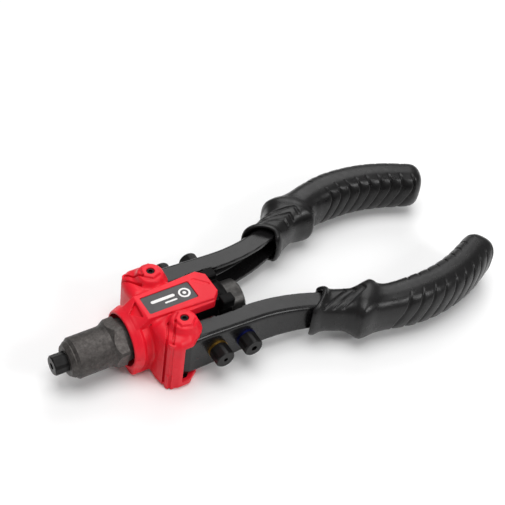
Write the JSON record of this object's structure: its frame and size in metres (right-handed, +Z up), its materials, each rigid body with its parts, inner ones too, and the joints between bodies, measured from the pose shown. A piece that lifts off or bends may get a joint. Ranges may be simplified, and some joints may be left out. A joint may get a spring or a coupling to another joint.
{
  "type": "hand riveter",
  "caption": "Two-handed lever riveter with a steel nose, moulded head cover, channel arms, curved grips and stored nosepieces.",
  "frame": {"origin": "centre of the mouth of the fitted nosepiece, with the arms closed", "axes": "+X from the nose towards the grips along the nose axis, +Y across the tool towards the right arm, +Z up with the tool lying flat and its label on top"},
  "size_m": [0.2948, 0.1284, 0.0464],
  "materials": {
    "cover_red": "satin moulded",
    "arm_black": "gloss black enamel",
    "grip_rubber": "satin moulded rubber",
    "barrel_steel": "dark phosphated steel",
    "nose_steel": "blackened steel",
    "sleeve_steel": "dull turned steel",
    "frame_black": "black oxide steel",
    "inner_steel": "ground steel",
    "bush_brass": "turned bronze",
    "zinc": "bright zinc",
    "label_grey": "dark satin plate",
    "ring_gold": "gold anodised",
    "ring_blue": "blue anodised",
    "ring_green": "green anodised",
    "ring_red": "red anodised"
  },
  "bodies": {
    "head": {"head_frame": "frame_black", "cover_upper": "cover_red", "cover_lower": "cover_red", "label_plate": "label_grey", "pivot_bolt_left": "zinc", "pivot_bolt_right": "zinc", "pivot_nuts": "zinc", "cover_screws": "zinc", "tail_screws": "zinc", "rear_collar": "frame_black", "rear_sleeve": "sleeve_steel", "drawbar": "inner_steel", "jaw_case": "inner_steel", "jaw_spring": "inner_steel"},
    "nose": {"nosepiece_fitted": "nose_steel", "barrel": "barrel_steel", "nose_slide": "inner_steel"},
    "pusher": {"jaw_pusher": "inner_steel"},
    "jaw_1": {"jaw_1": "nose_steel"},
    "jaw_2": {"jaw_2": "nose_steel"},
    "jaw_3": {"jaw_3": "nose_steel"},
    "arm_left": {"arm_left": "arm_black", "sector_left": "inner_steel", "pivot_bush_left": "bush_brass", "sector_pins_left": "inner_steel", "grip_left": "grip_rubber", "weld_nuts_left": "zinc", "spare_nosepiece_left_front": "nose_steel", "size_ring_left_front": "ring_gold", "spare_nosepiece_left_rear": "nose_steel", "size_ring_left_rear": "ring_blue"},
    "arm_right": {"arm_right": "arm_black", "sector_right": "inner_steel", "pivot_bush_right": "bush_brass", "sector_pins_right": "inner_steel", "grip_right": "grip_rubber", "weld_nuts_right": "zinc", "spare_nosepiece_right_front": "nose_steel", "size_ring_right_front": "ring_red", "spare_nosepiece_right_rear": "nose_steel", "size_ring_right_rear": "ring_green"}
  },
  "joints": [
    {"name": "arm_left_hinge", "type": "hinge", "parent": "head", "child": "arm_left", "pos_m": [0.073, -0.0204, 0], "axis": [0, 0, -1], "range_deg": [0, 41]},
    {"name": "arm_right_hinge", "type": "hinge", "parent": "head", "child": "arm_right", "pos_m": [0.073, 0.0204, 0], "axis": [0, 0, 1], "range_deg": [0, 41]},
    {"name": "nose_slide_travel", "type": "slide", "parent": "head", "child": "nose", "axis": [1, 0, 0], "range_m": [0, 0.00788]},
    {"name": "pusher_travel", "type": "slide", "parent": "head", "child": "pusher", "axis": [1, 0, 0], "range_m": [0, 0.002], "stiffness_N_per_m": 1500, "springref_m": -0.003},
    {"name": "jaw_1_travel", "type": "slide", "parent": "head", "child": "jaw_1", "axis": [0.9846, 0.175, 0], "range_m": [0, 0.00204]},
    {"name": "jaw_2_travel", "type": "slide", "parent": "head", "child": "jaw_2", "axis": [0.9846, -0.0875, 0.1516], "range_m": [0, 0.00204]},
    {"name": "jaw_3_travel", "type": "slide", "parent": "head", "child": "jaw_3", "axis": [0.9846, -0.0875, -0.1516], "range_m": [0, 0.00204]}
  ],
  "couplings": [
    {"joint": "arm_right_hinge", "follows": "arm_left_hinge", "ratio": 1},
    {"joint": "nose_slide_travel", "follows": "arm_left_hinge", "m_per_rad": 0.011},
    {"joint": "jaw_1_travel", "follows": "pusher_travel", "ratio": 1.0157},
    {"joint": "jaw_2_travel", "follows": "pusher_travel", "ratio": 1.0157},
    {"joint": "jaw_3_travel", "follows": "pusher_travel", "ratio": 1.0157}
  ]
}
